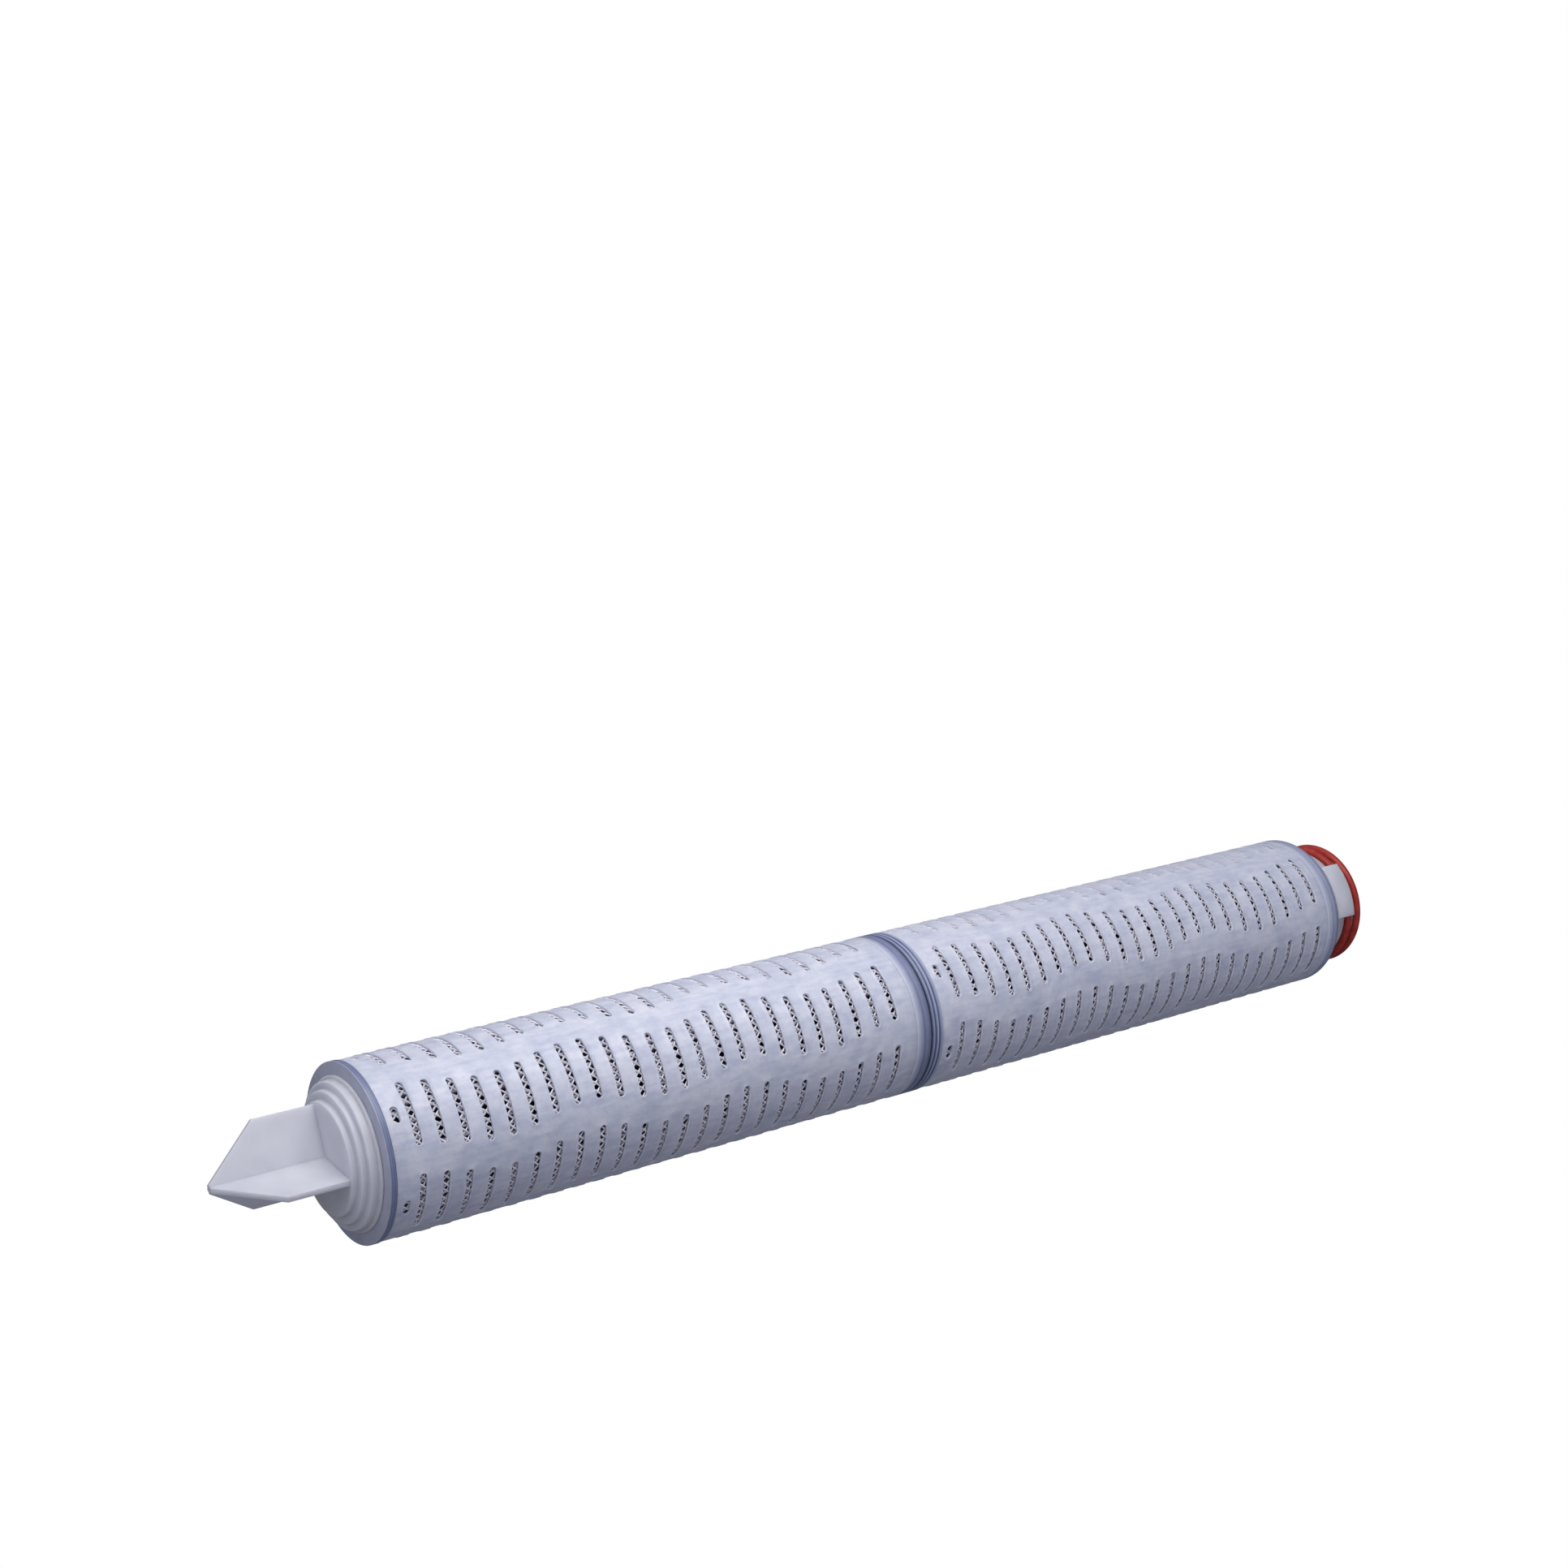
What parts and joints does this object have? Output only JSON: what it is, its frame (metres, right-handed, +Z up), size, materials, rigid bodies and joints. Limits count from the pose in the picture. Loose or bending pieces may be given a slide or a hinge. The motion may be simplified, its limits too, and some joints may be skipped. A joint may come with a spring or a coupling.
{
  "type": "pleated filter cartridge",
  "caption": "Long round filter cartridge: pleated media in slotted plastic cages, a bladed locating fin at one end and a bayonet spigot with seal rings at the other.",
  "frame": {"origin": "centre of the spigot's end face, at the lowest point of the standing cartridge", "axes": "+Z up the cartridge's axis from the spigot to the tip of the locating fin; +X is the side that the picture's light comes from"},
  "size_m": [0.069, 0.069, 0.5808],
  "materials": {
    "cage": "moulded natural polypropylene, milky",
    "end_cap": "moulded natural polypropylene, welded",
    "fin": "moulded natural polypropylene, milky",
    "adapter": "moulded natural polypropylene, milky",
    "core": "moulded polypropylene",
    "support": "spunbonded sleeve",
    "media": "carbon-loaded pleated web",
    "seal": "moulded silicone, satin"
  },
  "bodies": {
    "root": {"open_end_cap": "end_cap", "lower_cage": "cage", "lower_media": "media", "lower_inner_support": "support", "lower_core": "core", "lower_joint_cap": "end_cap", "upper_joint_cap": "end_cap", "upper_cage": "cage", "upper_media": "media", "upper_inner_support": "support", "upper_core": "core", "closed_end_cap": "end_cap", "fin_adapter": "fin", "bayonet_adapter": "adapter", "upper_o_ring": "seal", "lower_o_ring": "seal"}
  },
  "joints": []
}
